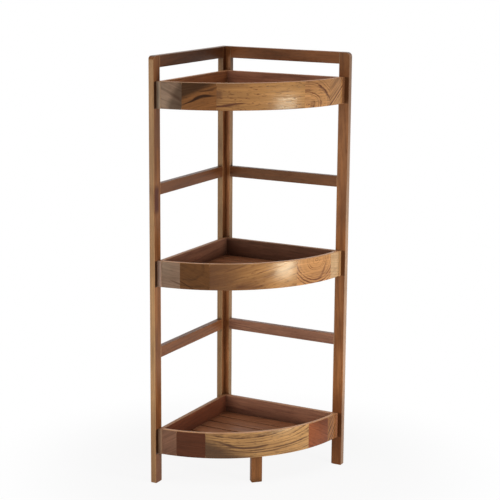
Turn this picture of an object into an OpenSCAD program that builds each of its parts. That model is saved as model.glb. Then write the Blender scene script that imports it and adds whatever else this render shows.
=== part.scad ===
// Three-tier corner shelf in oiled hardwood, in millimetres.
// Two flat ladder frames meet in a mitre at the back corner. Each carries one straight wall
// of three quarter-round trays, and a short fifth leg stands under the lowest tray.
// Z is up, the floor is z = 0 and the origin is the middle of the square footprint.
// One frame stands along -X and is called left, the other stands along +Y and is called back.

/* [Ladder frames] */
// Overall height of the shelf
frame_h = 850; // [800:5:950]
// Outer width of each frame, measured from the back corner
frame_w = 290; // [270:5:330]
// Thickness of the frame stock, also of the front leg
frame_t = 12; // [11:0.5:15]
// Width of the posts, also of the front leg
post_w = 23; // [22:1:30]
// Height of the top rails
top_rail_h = 23; // [20:1:32]
// Height of the two lower pairs of rails
mid_rail_h = 22; // [20:1:32]
// Floor to the underside of the upper middle rails
upper_rail_z = 582; // [540:1:640]
// Floor to the underside of the lower middle rails
lower_rail_z = 256; // [200:1:340]
// Radius on the outer top corner of the two front posts
post_top_r = 10; // [3:1:18]
// Radius on the corners of the feet
foot_r = 2.5; // [1:0.5:5]
// Rounding along the free edges of the front posts and the leg
post_edge_r = 2; // [1:0.5:4]
// Easing along the post edges that the rails meet
joint_edge_r = 0.5; // [0.2:0.1:1]
// Rounding along the long edges of rails, walls and slats
edge_r = 1.2; // [0.5:0.1:2]

/* [Trays] */
// Frame top down to the rim of the top tray
top_tray_drop = 48; // [30:1:90]
// Floor to the rim of the middle tray
middle_tray_z = 454; // [420:1:520]
// Floor to the rim of the bottom tray
bottom_tray_z = 112; // [100:1:180]
// Height of the tray walls and curved fronts
tray_h = 52; // [44:1:70]
// Thickness of the straight tray walls
wall_t = 9; // [8:0.5:12]
// Thickness of the curved front boards
front_t = 9; // [8:0.5:12]
// Open end of a frame back to the face of the curved fronts
front_setback = 10; // [5:1:20]

/* [Tray floors] */
// Width of a floor slat
slat_w = 32; // [26:1:38]
// Least gap between two slats
slat_gap_min = 4; // [2:0.5:8]
// Thickness of a slat
slat_t = 8; // [6:0.5:10]
// Width of the bearers under the slats
bearer_w = 20; // [14:1:24]
// Thickness of the bearers
bearer_t = 8; // [6:0.5:10]
// Inside of the curved front back to the outermost bearer, along the back wall
bearer_inset = 35; // [25:1:55]

/* [Curved front staves] */
// Length along the curve of the top tray's first stave, counted from the left wall
top_stave_1 = 42; // [25:1:60]
// Length of its second stave; the third one fills up what is left
top_stave_2 = 67; // [40:1:90]
// Length of its fourth stave
top_stave_4 = 66; // [40:1:90]
// Length of its fifth stave, at the back wall
top_stave_5 = 43; // [25:1:60]
// Length of the middle tray's first stave
middle_stave_1 = 38; // [25:1:60]
// Length of its second stave
middle_stave_2 = 59; // [40:1:90]
// Length of its fourth stave
middle_stave_4 = 93; // [50:1:110]
// Length of its fifth stave
middle_stave_5 = 29; // [20:1:50]
// Length of the bottom tray's first stave
bottom_stave_1 = 30; // [20:1:50]
// Length of its second stave
bottom_stave_2 = 59; // [40:1:90]
// Length of its fourth stave
bottom_stave_4 = 58; // [40:1:90]
// Length of its fifth stave
bottom_stave_5 = 28; // [20:1:50]

/* [Front leg] */
// Face of the curved front back to the face of the leg
leg_setback = 20; // [12:1:40]

/* [Fixings] */
// Diameter of the rail dowels
dowel_d = 6; // [5:0.5:7]
// Depth of a dowel in a post
dowel_in_post = 10; // [8:0.5:11]
// Depth of a dowel in a rail
dowel_in_rail = 15; // [12:1:20]
// Centre to centre spacing of the two dowels of a rail end
dowel_pitch = 10; // [8:0.5:12]
// Radial play of dowels and screws in their holes
fixing_play = 0.05; // [0.05:0.05:0.2]
// Spare depth at the end of a dowel hole
hole_spare = 0.5; // [0.2:0.1:1]
// Shank diameter of the wood screws
screw_d = 3.5; // [3:0.5:4]
// Head diameter of the wood screws
screw_head_d = 7; // [6:0.5:8]
// Depth of a wood screw beyond the frame stock
screw_bite = 7; // [5:0.5:7.5]
// Tray underside to the lower screw of a tray wall
screw_low = 14; // [10:1:18]
// Tray underside to the higher screw of a tray wall
screw_high = 38; // [28:1:39]
// Centre to centre spacing of the two leg screws
leg_screw_pitch = 11; // [9:1:12]

/* [Hidden] */
half = frame_w / 2;
// Play between a curved face and what ends against it
curve_play = 0.3;
// Steps of a rounded edge
edge_steps = 4;

// Tray planes: the walls stand against the frames' inner faces
wall_face = half - frame_t;
floor_face = wall_face - wall_t;
corner_to_wall = half - wall_face;
corner_to_floor = half - floor_face;

// The curved fronts are arcs about the outer back corner
arc_r = frame_w - front_setback;
arc_in_r = arc_r - front_t;
floor_r = arc_in_r - curve_play;
wall_end = half - sqrt(pow(arc_r, 2) - pow(corner_to_wall, 2));

TRAYS = ["top", "middle", "bottom"];
rim_z = [frame_h - top_tray_drop, middle_tray_z, bottom_tray_z];
under_z = [for (z = rim_z) z - tray_h];

// Slats share the floor's depth evenly
floor_depth = sqrt(pow(floor_r, 2) - pow(corner_to_floor, 2)) - corner_to_floor;
slat_count = floor((floor_depth + slat_gap_min) / (slat_w + slat_gap_min));
slat_gap = (floor_depth - slat_count * slat_w) / (slat_count - 1);

// Three bearers run from the back wall to the curved front, the first along the left wall
bearer_pitch = (floor_depth - bearer_inset - bearer_w) / 2;

// Stave joints by angle, from the left frame's plane round to the back frame's plane
start_angle = asin(corner_to_floor / arc_in_r);
stave_count = 5;
from_left_wall = [
    [top_stave_1, top_stave_2],
    [middle_stave_1, middle_stave_2],
    [bottom_stave_1, bottom_stave_2]
];
from_back_wall = [
    [top_stave_5, top_stave_4],
    [middle_stave_5, middle_stave_4],
    [bottom_stave_5, bottom_stave_4]
];
function arc_angle(length) = length / arc_r * 180 / PI;
function stave_joints(a, b) = [
    0,
    start_angle + arc_angle(a[0]),
    start_angle + arc_angle(a[0] + a[1]),
    90 - start_angle - arc_angle(b[0] + b[1]),
    90 - start_angle - arc_angle(b[0]),
    90
];

// Rails stand between the inner edges of the posts
rail_len = frame_w - 2 * post_w;
RAILS = ["top", "upper", "lower"];
rail_z = [frame_h - top_rail_h, upper_rail_z, lower_rail_z];
rail_h = [top_rail_h, mid_rail_h, mid_rail_h];

// Leg, on the diagonal under the bottom tray
leg_face_r = arc_r - leg_setback;
leg_h = under_z[2];
block_len = floor_r - leg_face_r + frame_t;

// Wood screws, one size for the whole shelf
screw_len = frame_t + screw_bite;
screw_head_h = (screw_head_d - screw_d) / 2;
screw_tip = 3;
recess_w = 0.9;
recess_depth = 1.1;
front_screw_y = (wall_end + half - frame_w + post_w) / 2;
corner_screw_y = half - (post_w + frame_t) / 2;
mitre_screw_x = -half + frame_t / 2;
leg_screw_r = leg_face_r - frame_t / 2;
// One mitre screw midway in each free stretch of the corner posts
mitre_stops = [
    [0, under_z[2]],
    [rim_z[2], lower_rail_z],
    [lower_rail_z + mid_rail_h, under_z[1]],
    [rim_z[1], upper_rail_z],
    [upper_rail_z + mid_rail_h, under_z[0]]
];
mitre_screw_z = [for (s = mitre_stops) (s[0] + s[1]) / 2];

// Outlines and placing

// A rounded corner of radius r about the centre c, turning left from the given angle
function rounded(c, r, from) = [
    for (i = [0:edge_steps]) c + r * [cos(from + i * 90 / edge_steps), sin(from + i * 90 / edge_steps)]
];

// Outline of a w by t section, with one radius along its low side and one along its high side
function section(w, t, low_r, high_r) = concat(
    rounded([w - high_r, t - high_r], high_r, 0), rounded([high_r, t - high_r], high_r, 90),
    rounded([low_r, low_r], low_r, 180), rounded([w - low_r, low_r], low_r, 270)
);
function eased(w, t) = section(w, t, edge_r, edge_r);

// The back frame is the left frame seen across the diagonal of the footprint
module as_back_frame() { mirror([1, 1, 0]) children(); }

// Puts +X along the diagonal towards the front, from the outer back corner
module on_diagonal() { translate([-half, half, 0]) rotate([0, 0, -45]) children(); }

// Board of height h and thickness t standing along +Y for a given length
module standing_board(length, h, t) {
    rotate([-90, 0, 0]) mirror([0, 1, 0]) linear_extrude(length) polygon(eased(t, h));
}

// Quarter cylinder about the outer back corner, as tall as asked
module arc_body(r, h) { translate([-half, half, 0]) cylinder(h = h, r = r, $fn = 180); }

// Fixings and their places

// Screw with its head's face at z = 0, pointing down -Z
module screw() {
    r = screw_d / 2;
    head_r = screw_head_d / 2;
    difference() {
        rotate_extrude($fn = 24)
            polygon([[0, 0], [head_r, 0], [r, -screw_head_h], [r, screw_tip - screw_len], [0, -screw_len]]);
        for (a = [0, 90]) rotate([0, 0, a])
            translate([-screw_d * 0.6, -recess_w / 2, -recess_depth])
                cube([screw_d * 1.2, recess_w, recess_depth + 1]);
    }
}

// Hole for that screw, countersunk for its head
module screw_hole() {
    r = screw_d / 2 + fixing_play;
    head_r = screw_head_d / 2 + fixing_play;
    translate([0, 0, -screw_len - hole_spare]) cylinder(h = screw_len + hole_spare + 1, r = r, $fn = 24);
    translate([0, 0, -screw_head_h]) cylinder(h = screw_head_h, r1 = r, r2 = head_r, $fn = 24);
    cylinder(h = 1, r = head_r, $fn = 24);
}

// Places a screw from outside the left frame, pointing +X
module from_left(y, z) { translate([-half, y, z]) rotate([0, -90, 0]) children(); }

module at_front_screws() {
    for (z = under_z, dz = [screw_low, screw_high]) from_left(front_screw_y, z + dz) children();
}

module at_left_corner_screws() {
    for (z = under_z) from_left(corner_screw_y, z + screw_low) children();
}

module at_back_corner_screws() {
    as_back_frame() for (z = under_z) from_left(corner_screw_y, z + screw_high) children();
}

// These go through the back post's side of the mitre into the left post
module at_mitre_screws() {
    for (z = mitre_screw_z) translate([mitre_screw_x, half, z]) rotate([-90, 0, 0]) children();
}

module at_leg_screws() {
    on_diagonal() for (s = [-1, 1])
        translate([leg_screw_r, s * leg_screw_pitch / 2, leg_h + bearer_t]) children();
}

// Dowel or hole across the joint at a post's inner edge, pointing +Y into the rail for side = 1
module at_rail_ends(rails) {
    for (i = rails, side = [1, -1], dz = [-1, 1])
        translate([
            -half + frame_t / 2,
            -side * rail_len / 2,
            rail_z[i] + rail_h[i] / 2 + dz * dowel_pitch / 2
        ]) rotate([-side * 90, 0, 0]) children();
}

module dowel() {
    translate([0, 0, -dowel_in_post])
        cylinder(h = dowel_in_post + dowel_in_rail, r = dowel_d / 2, $fn = 24);
}

module dowel_hole() {
    translate([0, 0, -dowel_in_post - hole_spare])
        cylinder(h = dowel_in_post + dowel_in_rail + 2 * hole_spare, r = dowel_d / 2 + fixing_play, $fn = 24);
}

// Ladder frames

// Side view of a post of width w and height h: the outer edge is at y = 0
function post_outline(w, h, top_r, bottom_r) = concat(
    [[w, h]],
    top_r == 0 ? [[0, h]] : [for (a = [90:15:180]) [top_r + top_r * cos(a), h - top_r + top_r * sin(a)]],
    [for (a = [180:15:270]) [bottom_r + bottom_r * cos(a), bottom_r + bottom_r * sin(a)]],
    [for (a = [270:15:360]) [w - bottom_r + bottom_r * cos(a), bottom_r + bottom_r * sin(a)]]
);

module left_front_post() {
    color("#8a5f40") difference() {
        translate([-half, -half, 0]) intersection() {
            linear_extrude(frame_h) polygon(section(frame_t, post_w, post_edge_r, joint_edge_r));
            rotate([90, 0, 90]) linear_extrude(frame_t)
                polygon(post_outline(post_w, frame_h, post_top_r, foot_r));
        }
        at_front_screws() screw_hole();
        at_rail_ends([0:2]) dowel_hole();
    }
}

// Corner post with its outer corner cut to the mitre plane y = -x
module mitred_post() {
    r = joint_edge_r;
    translate([-half, half - post_w, 0]) linear_extrude(frame_h) polygon(concat(
        [[frame_t, post_w - frame_t], [0, post_w]],
        rounded([r, r], r, 180),
        rounded([frame_t - r, r], r, 270)
    ));
}

module left_corner_post() {
    color("#7d5236") difference() {
        mitred_post();
        at_left_corner_screws() screw_hole();
        at_mitre_screws() screw_hole();
        at_rail_ends([0:2]) dowel_hole();
    }
}

module back_corner_post() {
    color("#7d5236") difference() {
        as_back_frame() mitred_post();
        at_back_corner_screws() screw_hole();
        at_mitre_screws() screw_hole();
        as_back_frame() at_rail_ends([0:2]) dowel_hole();
    }
}

module back_front_post() { as_back_frame() left_front_post(); }

module left_rail(i) {
    color("#5e3c28") difference() {
        translate([-half, -rail_len / 2, rail_z[i]]) standing_board(rail_len, rail_h[i], frame_t);
        at_rail_ends([i]) dowel_hole();
    }
}

module back_rail(i) { as_back_frame() left_rail(i); }

module rail_dowels() {
    color("#c9a678") {
        at_rail_ends([0:2]) dowel();
        as_back_frame() at_rail_ends([0:2]) dowel();
    }
}

module wood_screws() {
    color("#8d8f92") {
        at_front_screws() screw();
        as_back_frame() at_front_screws() screw();
        at_left_corner_screws() screw();
        at_back_corner_screws() screw();
        at_mitre_screws() screw();
        at_leg_screws() screw();
    }
}

// Trays

// Runs the whole depth of the tray, so its front end grain shows beside the curve
module tray_left_wall(tray) {
    color("#6b3f29") difference() {
        translate([-wall_face, wall_end, under_z[tray]])
            standing_board(wall_face - wall_end, tray_h, wall_t);
        at_front_screws() screw_hole();
        at_left_corner_screws() screw_hole();
        at_back_corner_screws() screw_hole();
    }
}

// Butts against the left wall at the corner
module tray_back_wall(tray) {
    color("#6b4630") difference() {
        as_back_frame() translate([-wall_face, wall_end, under_z[tray]])
            standing_board(floor_face - wall_end, tray_h, wall_t);
        as_back_frame() at_front_screws() screw_hole();
    }
}

// Cut from the whole arc by a wedge; the inner faces of the walls cut the first and last ones
module front_stave(tray, i) {
    joints = stave_joints(from_left_wall[tray], from_back_wall[tray]);
    reach = 2 * arc_r;
    color(i % 2 == 0 ? "#a9794a" : "#8a5838") intersection() {
        translate([-half, half, under_z[tray]]) rotate_extrude($fn = 180) translate([arc_in_r, 0])
            polygon(eased(front_t, tray_h));
        translate([-half, half, under_z[tray] - 1]) rotate([0, 0, joints[i] - 90])
            linear_extrude(tray_h + 2)
                polygon([[0, 0], [reach, 0], [reach, reach * tan(joints[i + 1] - joints[i])]]);
        translate([-floor_face, -frame_w, under_z[tray] - 1])
            cube([frame_w * 2, frame_w + floor_face, tray_h + 2]);
    }
}

// Slats are counted from the front end of the tray
module slat(tray, i) {
    color("#7a4c33") intersection() {
        translate([-floor_face, floor_face - floor_depth + i * (slat_w + slat_gap), under_z[tray] + bearer_t])
            rotate([90, 0, 90]) linear_extrude(frame_w) polygon(eased(slat_w, slat_t));
        translate([0, 0, under_z[tray]]) arc_body(floor_r, tray_h);
    }
}

module bearers(tray) {
    color("#8a6242") for (i = [0:2]) intersection() {
        translate([-floor_face + i * bearer_pitch, floor_face - frame_w, under_z[tray]])
            cube([bearer_w, frame_w, bearer_t]);
        translate([0, 0, under_z[tray]]) arc_body(floor_r, bearer_t);
    }
}

// Front leg

module front_leg() {
    color("#7d4f33") difference() {
        on_diagonal() translate([leg_face_r - frame_t, -post_w / 2, 0]) intersection() {
            linear_extrude(leg_h) polygon(section(frame_t, post_w, post_edge_r, post_edge_r));
            rotate([90, 0, 90]) linear_extrude(frame_t)
                polygon(post_outline(post_w, leg_h, 0, foot_r));
        }
        at_leg_screws() screw_hole();
    }
}

// Block under the slats that takes the leg's screws
module leg_block() {
    color("#8a6242") difference() {
        translate([0, 0, leg_h]) intersection() {
            on_diagonal() translate([leg_face_r - frame_t, -post_w / 2, 0])
                cube([block_len, post_w, bearer_t]);
            arc_body(floor_r, bearer_t);
        }
        at_leg_screws() screw_hole();
    }
}

left_front_post();
left_corner_post();
back_corner_post();
back_front_post();
for (i = [0:2]) {
    left_rail(i);
    back_rail(i);
}
for (t = [0:2]) {
    tray_left_wall(t);
    tray_back_wall(t);
}
for (t = [0:2], i = [0:stave_count - 1])
    front_stave(t, i);
for (t = [0:2], i = [0:slat_count - 1])
    slat(t, i);
for (t = [0:2])
    bearers(t);
front_leg();
leg_block();
rail_dowels();
wood_screws();
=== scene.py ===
"""Dresses the corner shelf: oiled timber posts, rails and trays, glued-up curved fronts,
slatted floors, screws and dowels, on a pale floor in soft studio light."""
from functools import partial
from math import acos, asin, cos, hypot, pi, radians, sin, tan

import bmesh
import bpy
from mathutils import Matrix, Vector


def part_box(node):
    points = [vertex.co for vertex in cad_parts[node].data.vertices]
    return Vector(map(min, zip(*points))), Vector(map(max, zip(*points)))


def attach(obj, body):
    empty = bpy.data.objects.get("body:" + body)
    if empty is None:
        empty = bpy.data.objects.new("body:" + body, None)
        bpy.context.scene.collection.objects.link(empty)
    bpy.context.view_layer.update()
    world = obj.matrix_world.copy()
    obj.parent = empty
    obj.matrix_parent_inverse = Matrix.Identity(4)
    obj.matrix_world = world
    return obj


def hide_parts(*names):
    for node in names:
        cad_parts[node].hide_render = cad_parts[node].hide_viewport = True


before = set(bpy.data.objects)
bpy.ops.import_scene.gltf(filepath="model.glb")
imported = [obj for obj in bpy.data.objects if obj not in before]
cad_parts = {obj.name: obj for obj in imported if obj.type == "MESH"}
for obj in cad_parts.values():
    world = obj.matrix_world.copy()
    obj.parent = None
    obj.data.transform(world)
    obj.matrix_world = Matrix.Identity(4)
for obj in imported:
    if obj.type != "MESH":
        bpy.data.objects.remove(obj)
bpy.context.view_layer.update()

bl_info = {
    "name": "Corner Shelf",
    "version": (1, 0, 0),
    "blender": (4, 5, 0),
    "location": "View3D > Sidebar > Corner Shelf",
    "description": "Oiled timber corner shelf with three quarter-round trays",
    "category": "Add Mesh",
}

TRAYS = ("top", "middle", "bottom")
RAILS = ("top", "upper", "lower")
SIDES = {"left": "YZX", "back": "XZY"}
STAVE_COUNT = 5
WIDE_STAVE = 3
DARK_STAVES = (1, 2)
SLAT_COUNT = len([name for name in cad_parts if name.startswith("top_slat_")])

# Places read from the frame: the outer back corner is the centre of every curved front

CORNER_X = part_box("left_corner_post")[0].x
CORNER_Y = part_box("left_corner_post")[1].y
LOW_STAVE_1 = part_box("top_front_stave_1")[0]
FRONT_R = hypot(LOW_STAVE_1.x - CORNER_X, CORNER_Y - LOW_STAVE_1.y)

# Widths over which the sapwood, the painted shadow beside the trays and the wear fade, and other
# values

SAPWOOD_FADE = 0.0012
SHADOW_FADE = 0.0004
WEAR_FADE = 0.004
VEIN_TINT = (0.65, 0.3, 0.15)
MERGE_DISTANCE = 1e-6
SHARP_ANGLE = radians(35)
AIM_Z = 0.42
WHITE = (1.0, 1.0, 1.0, 1.0)

# Timbers: name, where each is used, and its earlywood and latewood as they show in the photo

TIMBERS = {
    "post": ("Post", "the posts", (156, 102, 60), (94, 52, 26)),
    "rail": ("Rail", "most rails", (132, 82, 48), (78, 42, 22)),
    "wall": ("Wall", "the top tray's left wall", (136, 90, 58), (80, 46, 28)),
    "slat": ("Slat", "the slats", (152, 102, 71), (92, 54, 37)),
    "golden": ("Golden", "the golden staves", (204, 146, 84), (98, 46, 16)),
    "olive": ("Olive", "the lowest wide stave", (212, 158, 96), (82, 40, 14)),
    "umber": ("Umber", "the dark staves", (146, 94, 52), (50, 26, 12)),
    "ash": ("Grey-brown", "the greyish staves", (152, 122, 100), (74, 52, 38)),
    "russet": ("Russet", "the reddish staves", (222, 160, 98), (108, 48, 16)),
    "brick": ("Brick", "the plain reddish stave", (176, 98, 58), (102, 44, 22)),
    "mauve": ("Mauve", "most tray walls, a rail and a stave", (142, 100, 78), (78, 48, 38)),
    "wine": ("Wine", "the dark red stave", (106, 56, 36), (60, 28, 16)),
    "honey": ("Honey", "the palest stave", (222, 180, 130), (170, 116, 72)),
    "cherry": ("Cherry", "the reddest wall", (130, 76, 52), (78, 37, 25)),
    "raw": ("Raw wood", "hidden pieces", (190, 156, 116), (146, 106, 72)),
}


def paint(red, green, blue):
    """Scene-linear colour of a display colour given from 0 to 255."""
    def linear(value):
        value = value / 255.0
        return value / 12.92 if value <= 0.04045 else ((value + 0.055) / 1.055) ** 2.4
    return (linear(red), linear(green), linear(blue))


def length(name, description, default):
    """A size that a user may change."""
    return bpy.props.FloatProperty(
        name=name, description=description, default=default, min=0.0, precision=5,
        unit="LENGTH", subtype="DISTANCE")


def colour(name, description, default):
    """A colour that a user may change."""
    return bpy.props.FloatVectorProperty(
        name=name, description=description, default=default, size=3, min=0.0, max=1.0,
        subtype="COLOR")


class ShelfSizes(bpy.types.PropertyGroup):
    """Sizes of the pieces that are modelled here."""
    front_thickness: length("Front thickness", "Thickness of the curved fronts", 0.009)
    edge_radius: length("Edge radius", "Rounding along staves and slats", 0.0012)
    slat_play: length("Slat play", "Space between the slats and the curved front", 0.0003)
    head_diameter: length("Head diameter", "Diameter of a screw's head", 0.007)
    head_height: length("Head height", "Height of a screw's head", 0.00175)
    shank_diameter: length("Shank diameter", "Diameter of a screw's core", 0.0026)
    thread_diameter: length("Thread diameter", "Diameter over a screw's thread", 0.0035)
    thread_pitch: length("Thread pitch", "Rise of a screw's thread in one turn", 0.0015)
    dowel_diameter: length("Dowel diameter", "Diameter of the rail dowels", 0.006)
    flute_depth: length("Flute depth", "Depth of the flutes along a dowel", 0.0003)
    stave_segments: bpy.props.IntProperty(
        name="Stave segments", description="Segments along the curve of one stave",
        default=48, min=4, max=256)


class ShelfTimbers(bpy.types.PropertyGroup):
    """Light and dark colours of the timbers, as the oiled surface shows them."""
    sapwood: colour("Sapwood", "Pale wood along the sides of the posts", paint(188, 144, 100))
    worn_edge: colour("Worn edge", "Wood where the oil has worn off", paint(230, 170, 118))
    gloss: colour("Gloss", "Tint of the oiled surface's reflections", (1.0, 0.86, 0.62))
    front_gloss: colour("Front gloss", "Tint of the light staves' reflections", (1.0, 0.94, 0.7))
    end_grain: colour("End grain", "Cut ends of the boards", paint(112, 88, 70))
    zinc: colour("Zinc", "Plating of the screws", paint(186, 184, 178))


for key, (name, where, light, dark) in TIMBERS.items():
    ShelfTimbers.__annotations__ |= {
        key + "_light": colour(name + ", light", "Earlywood of " + where, paint(*light)),
        key + "_dark": colour(name + ", dark", "Latewood of " + where, paint(*dark))}


# Node helpers; where no tree is given, it is the one that the values belong to

def fill(sockets, values):
    """Sets or links inputs; a node among the values stands for its first output."""
    for key, value in values.items():
        if isinstance(value, bpy.types.Node):
            value = value.outputs[0]
        if isinstance(value, bpy.types.NodeSocket):
            value.id_data.links.new(value, sockets[key])
        else:
            sockets[key].default_value = value


def place(tree, kind, inputs=None, label="", **settings):
    """Adds a node, sets its properties, then sets or links its inputs."""
    node = tree.nodes.new(kind)
    node.label = label
    for key, value in settings.items():
        setattr(node, key, value)
    fill(node.inputs, inputs or {})
    return node


def tree_of(values):
    """Tree of the first node or socket among some values."""
    return next(value.id_data for value in values
                if isinstance(value, (bpy.types.Node, bpy.types.NodeSocket)))


def calculate(operation, *values):
    """Math node; each value is a node, a socket or a number."""
    return place(tree_of(values), "ShaderNodeMath", dict(enumerate(values)), operation=operation)


plus = partial(calculate, "ADD")
minus = partial(calculate, "SUBTRACT")
times = partial(calculate, "MULTIPLY")
over = partial(calculate, "DIVIDE")
times_plus = partial(calculate, "MULTIPLY_ADD")
size_of = partial(calculate, "ABSOLUTE")
larger = partial(calculate, "MAXIMUM")
smaller = partial(calculate, "MINIMUM")
root = partial(calculate, "SQRT")


def vector_of(operation, a, b):
    """Vector math node."""
    return place(a.id_data, "ShaderNodeVectorMath", {0: a, 1: b}, operation=operation)


def ease(value, low, high, to_low=0.0, to_high=1.0):
    """Smooth step of a value from low to high."""
    return place(value.id_data, "ShaderNodeMapRange", {
        "Value": value, "From Min": low, "From Max": high, "To Min": to_low, "To Max": to_high},
        interpolation_type="SMOOTHSTEP")


def blend(factor, first, second):
    """Colour between two colours."""
    return place(factor.id_data, "ShaderNodeMix", {
        0: factor, 6: first, 7: second}, data_type="RGBA").outputs[2]


def shade(tint, factor):
    """Colour made lighter or darker by a factor."""
    return place(tint.id_data, "ShaderNodeVectorMath", {
        0: tint, "Scale": factor}, operation="SCALE")


def parts(vector):
    """X, Y and Z outputs of a vector."""
    return place(vector.id_data, "ShaderNodeSeparateXYZ", {0: vector}).outputs


def joined(*axes):
    """Vector from X, Y and Z."""
    return place(tree_of(axes), "ShaderNodeCombineXYZ", dict(enumerate(axes)))


def turned(vector, label, angle):
    """Vector turned about Z by an angle in degrees."""
    return place(vector.id_data, "ShaderNodeMapping", {
        "Vector": vector, "Rotation": (0, 0, radians(angle))}, label)


def noise(label, vector, seed, scale, detail, roughness):
    """Outputs of a noise that a seed changes."""
    return place(vector.id_data, "ShaderNodeTexNoise", {
        "Vector": vector, "W": seed, "Scale": scale, "Detail": detail, "Roughness": roughness},
        label, noise_dimensions="4D").outputs


def start_tree(name, inputs, *outputs):
    """Empty node tree with named sockets, and its input and output sockets. Each input is given
    by its default or, where it has none, by its type. Without outputs it is a geometry tree."""
    tree = bpy.data.node_groups.new(name, "ShaderNodeTree" if outputs else "GeometryNodeTree")
    for label, value in inputs.items():
        socket_type = {float: FLOAT, int: INTEGER}.get(type(value), value)
        socket = tree.interface.new_socket(name=label, in_out="INPUT", socket_type=socket_type)
        if socket_type != value:
            socket.default_value = value
    for label in outputs or ("Geometry",):
        tree.interface.new_socket(name=label, in_out="OUTPUT", socket_type={
            "Color": COLOUR, "Geometry": GEOMETRY}.get(label, FLOAT))
    return tree, tree.nodes.new("NodeGroupInput").outputs, tree.nodes.new("NodeGroupOutput").inputs


FLOAT, INTEGER, VECTOR, COLOUR, GEOMETRY, MATERIAL = (
    "NodeSocket" + kind for kind in ("Float", "Int", "Vector", "Color", "Geometry", "Material"))

RING_INPUTS = {"Vector": VECTOR, "Ring Width": 0.004, "Heart Along": 0.0, "Heart Across": 0.05,
               "Heart Depth": 0.02, "Lean": 0.08, "Wander": 0.004, "Seed": 0.0}
VEIN_INPUTS = {"Along": 0.0, "Across": 0.0, "Slope": 0.0, "Bend": 0.0, "Width": 0.004,
               "Length": 0.03, "Contrast": 0.0}
# Reach and levels of the painted shade in inner corners
CORNER_INPUTS = {"Corner Reach": 0.03, "Corner Open": 0.85, "Corner Closed": 0.35}
VEINS = ("Vein", "Second Vein")


# Effects shared by the timbers, in board space: X along the grain, Y across it, Z through

def growth_rings_group():
    """Growth rings round a heart that leans out of the board, which draws cathedral arches."""
    tree, given, result = start_tree("Growth Rings", RING_INPUTS, "Rings", "Bands")
    stretched = vector_of("MULTIPLY", given["Vector"], (7.0, 28.0, 28.0))
    drift = noise("Wandering grain", stretched, given["Seed"], 1.0, 4.0, 0.55)["Color"]
    centred = vector_of("SUBTRACT", drift, (0.5, 0.5, 0.5))
    board = parts(vector_of("ADD", given["Vector"], shade(centred, given["Wander"])))
    along = minus(board[0], given["Heart Along"])
    inward = plus(times(along, given["Lean"]), plus(board[2], given["Heart Depth"]))
    across = minus(board[1], given["Heart Across"])
    radius = root(plus(times(inward, inward), times(across, across)))
    age = over(radius, given["Ring Width"])
    bands = place(tree, "ShaderNodeTexNoise", {
        "W": times_plus(given["Seed"], 7.0, age), "Scale": 0.45, "Detail": 1.0},
        "Uneven years", noise_dimensions="1D")
    years = times_plus(bands, 2.4, age)
    late = place(tree, "ShaderNodeValToRGB", {0: calculate("FRACT", years)}, "Latewood")
    stops = late.color_ramp.elements
    stops[0].color = (0.25, 0.25, 0.25, 1.0)
    stops[1].color = (0.3, 0.3, 0.3, 1.0)
    for position, value in ((0.12, 0.0), (0.55, 0.1), (0.76, 0.9), (0.9, 1.0)):
        stops.new(position).color = (value, value, value, 1.0)
    strength = place(tree, "ShaderNodeTexWhiteNoise", {
        "W": plus(calculate("FLOOR", years), given["Seed"])},
        "Strength of a year", noise_dimensions="1D")
    fill(result, {"Rings": times(late, times_plus(strength, 0.7, 0.3)), "Bands": bands})
    return tree


def fibres_group():
    """Fine fibres, short pores, dark streaks and flecks, a broad uneven tone, and patches where
    the rings show clearly."""
    looks = {
        "Fibres": ((9.0, 420.0, 420.0), 3.0, 0.3, 0.7),
        "Pores": ((75.0, 1100.0, 1100.0), 1.0, 0.62, 0.72),
        "Streaks": ((22.0, 260.0, 260.0), 3.0, 0.58, 0.72),
        "Flecks": ((90.0, 430.0, 430.0), 2.0, 0.56, 0.68),
        "Tone": ((8.0, 36.0, 36.0), 2.0, 0.3, 0.7),
        "Clarity": ((30.0, 110.0, 110.0), 3.0, 0.36, 0.64)}
    tree, given, result = start_tree("Fibres and Pores", {"Vector": VECTOR, "Seed": 0.0}, *looks)
    for label, (scale, detail, low, high) in looks.items():
        stretched = vector_of("MULTIPLY", given["Vector"], scale)
        value = noise(label, stretched, given["Seed"], 1.0, detail, 0.6)[0]
        fill(result, {label: ease(value, low, high)})
    return tree


def worn_edges_group():
    """Mask of the eased edges, where the oil has worn thin in patches."""
    tree, given, result = start_tree(
        "Worn Edges", {"Vector": VECTOR, "Reach": 0.0016, "Seed": 0.0}, "Wear")
    rounded = place(tree, "ShaderNodeBevel", {"Radius": given["Reach"]}, "Rounded", samples=4)
    plain = place(tree, "ShaderNodeNewGeometry")
    facing = place(tree, "ShaderNodeVectorMath", {
        0: rounded, 1: plain.outputs["Normal"]}, operation="DOT_PRODUCT").outputs["Value"]
    patches = noise("Patches", given["Vector"], given["Seed"], 60.0, 3.0, 0.5)[0]
    fill(result, {"Wear": times(ease(facing, 0.99, 0.88), ease(patches, 0.25, 0.6, 0.45, 1.0))})
    return tree


def painted_corner_shade_group():
    """Mask of inner corners and joints, from ambient occlusion, for painted shade."""
    tree, given, result = start_tree("Dark Corners", CORNER_INPUTS, "Painted Shade")
    open_sky = place(tree, "ShaderNodeAmbientOcclusion", {
        "Distance": given["Corner Reach"]}, samples=8).outputs["AO"]
    fill(result, {"Painted Shade": ease(open_sky, given["Corner Open"], given["Corner Closed"])})
    return tree


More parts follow.
